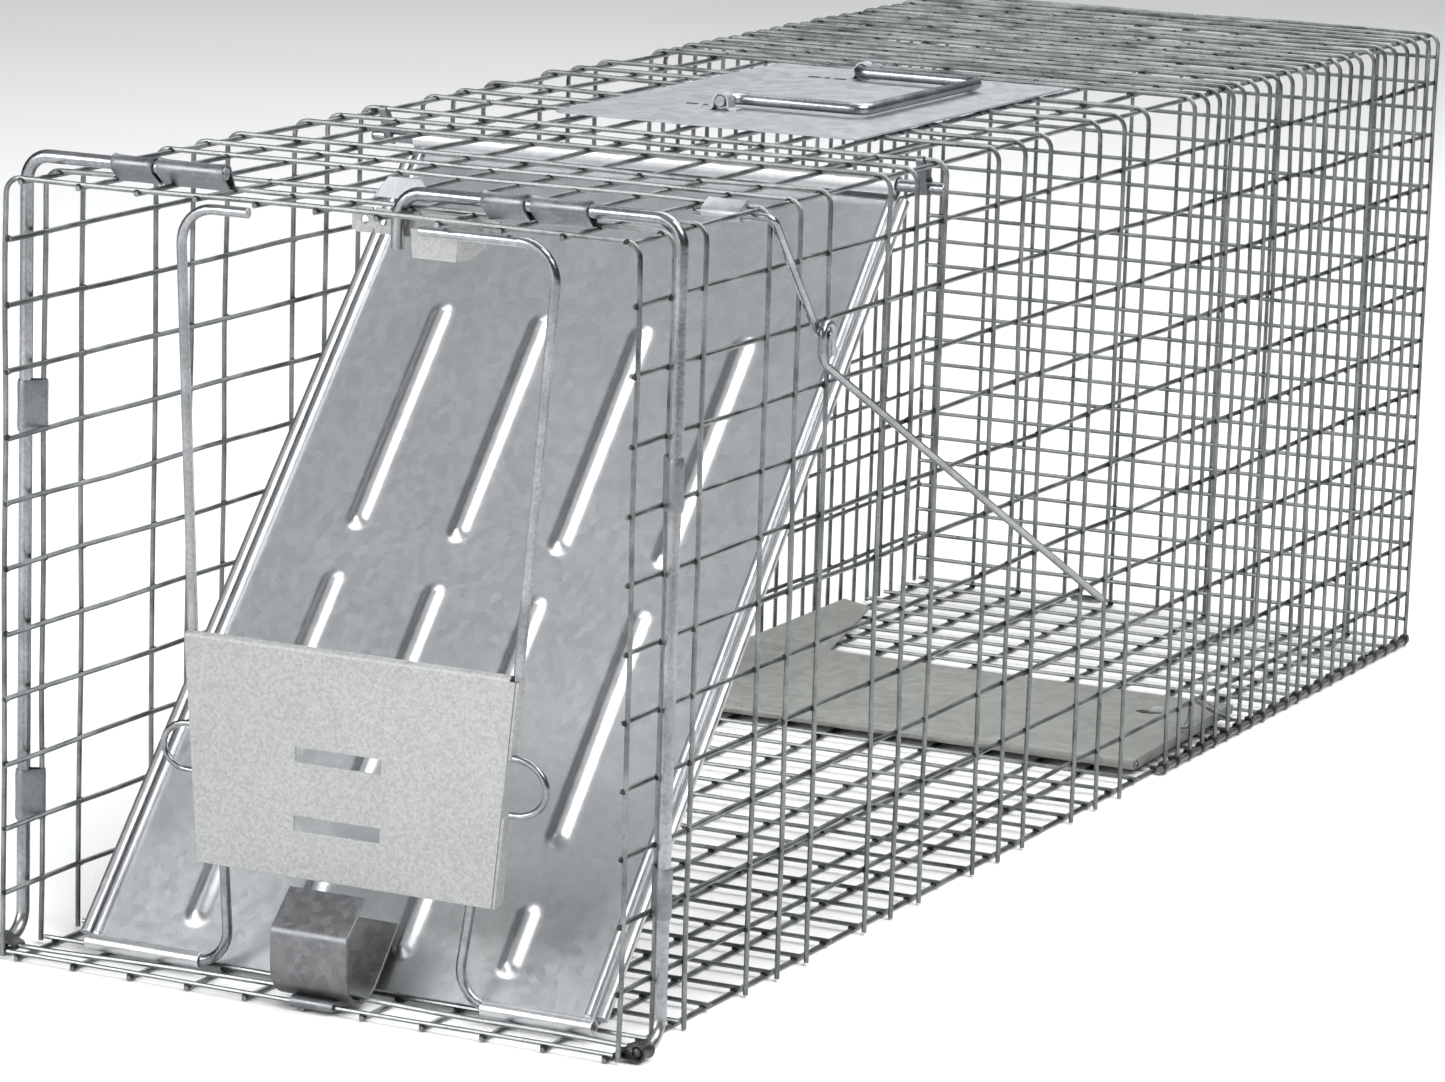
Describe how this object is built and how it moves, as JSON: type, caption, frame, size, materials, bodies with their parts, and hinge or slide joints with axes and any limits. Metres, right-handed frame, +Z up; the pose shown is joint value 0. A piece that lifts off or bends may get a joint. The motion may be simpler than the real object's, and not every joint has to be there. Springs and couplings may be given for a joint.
{
  "type": "live catch trap",
  "caption": "Long welded-mesh cage trap with a sloped sheet door, lock bail and plate, trip rod, treadle pan and folding carry handle.",
  "frame": {"origin": "centre of the bounding box's bottom, on the ground under the middle of the cage", "axes": "+Z up, +Y from the door end to the closed rear end, +X to the right wall, where the trip rod is"},
  "size_m": [0.2864, 0.8519, 0.314],
  "materials": {
    "mesh_wire": "galvanised wire, satin",
    "steel_rod": "zinc plated rod, satin",
    "bright_sheet": "bright galvanised sheet with faint spangle",
    "dull_sheet": "dull galvanised sheet with fine mottled spangle",
    "clip_steel": "crimped galvanised clip, satin"
  },
  "bodies": {
    "cage": {"cage_left_wall": "mesh_wire", "cage_right_wall": "mesh_wire", "cage_roof": "mesh_wire", "cage_floor": "mesh_wire", "cage_rear_panel": "mesh_wire", "front_frame_left": "steel_rod", "front_frame_right": "steel_rod", "door_hinge_rod": "steel_rod", "pan_hinge_rod": "steel_rod", "guard_plate": "dull_sheet", "handle_bracket_front": "dull_sheet", "handle_bracket_rear": "dull_sheet", "floor_edge_strip": "dull_sheet", "catch_bracket": "clip_steel", "catch_lug": "clip_steel", "floor_catch_clip": "clip_steel", "hinge_clip_left": "clip_steel", "hinge_clip_right": "clip_steel", "crank_clip": "clip_steel", "frame_clip_roof_left_outer": "clip_steel", "frame_clip_roof_left_inner": "clip_steel", "frame_clip_roof_right_inner": "clip_steel", "frame_clip_roof_right_outer": "clip_steel", "frame_clip_wall_left_upper": "clip_steel", "frame_clip_wall_left_lower": "clip_steel", "frame_clip_wall_right_upper": "clip_steel", "frame_clip_wall_right_lower": "clip_steel", "frame_clip_foot_left": "clip_steel", "frame_clip_foot_right": "clip_steel"},
    "door": {"door_sheet": "bright_sheet", "door_edge_left": "bright_sheet", "door_edge_right": "bright_sheet", "door_sleeve_left": "bright_sheet", "door_sleeve_right": "bright_sheet", "door_finger_tab": "dull_sheet"},
    "lock_bail": {"lock_leg_left": "steel_rod", "lock_leg_right": "steel_rod", "lock_plate": "dull_sheet", "lock_loop_left": "steel_rod", "lock_loop_right": "steel_rod"},
    "handle": {"carry_handle": "steel_rod"},
    "latch_crank": {"latch_crank": "steel_rod"},
    "trip_rod": {"trip_rod": "steel_rod", "trip_rod_eye": "steel_rod"},
    "pan": {"trip_pan": "dull_sheet", "pan_lever": "steel_rod"}
  },
  "joints": [
    {"name": "door_hinge", "type": "hinge", "parent": "cage", "child": "door", "pos_m": [0, -0.15133, 0.2921], "axis": [-1, 0, 0], "range_deg": [0, 42]},
    {"name": "lock_bail_pivot", "type": "hinge", "parent": "door", "child": "lock_bail", "pos_m": [0, -0.40283, 0.0059], "axis": [1, 0, 0], "range_deg": [0, 174]},
    {"name": "handle_hinge", "type": "hinge", "parent": "cage", "child": "handle", "pos_m": [-0.0025, -0.01348, 0.3102], "axis": [0, -1, 0], "range_deg": [0, 170]},
    {"name": "pan_tilt", "type": "hinge", "parent": "cage", "child": "pan", "pos_m": [0, 0.09247, 0.006], "axis": [1, 0, 0], "range_deg": [0, 4]},
    {"name": "latch_crank_pivot", "type": "hinge", "parent": "cage", "child": "latch_crank", "pos_m": [0.12, -0.32153, 0.3008], "axis": [1, 0, 0], "range_deg": [0, 12]},
    {"name": "trip_rod_pivot", "type": "hinge", "parent": "latch_crank", "child": "trip_rod", "pos_m": [0.1408, -0.27913, 0.2515], "axis": [1, 0, 0], "range_deg": [-14, 0]}
  ],
  "couplings": [
    {"joint": "lock_bail_pivot", "follows": "door_hinge", "ratio": 4.14},
    {"joint": "trip_rod_pivot", "follows": "latch_crank_pivot", "ratio": -1.15}
  ]
}
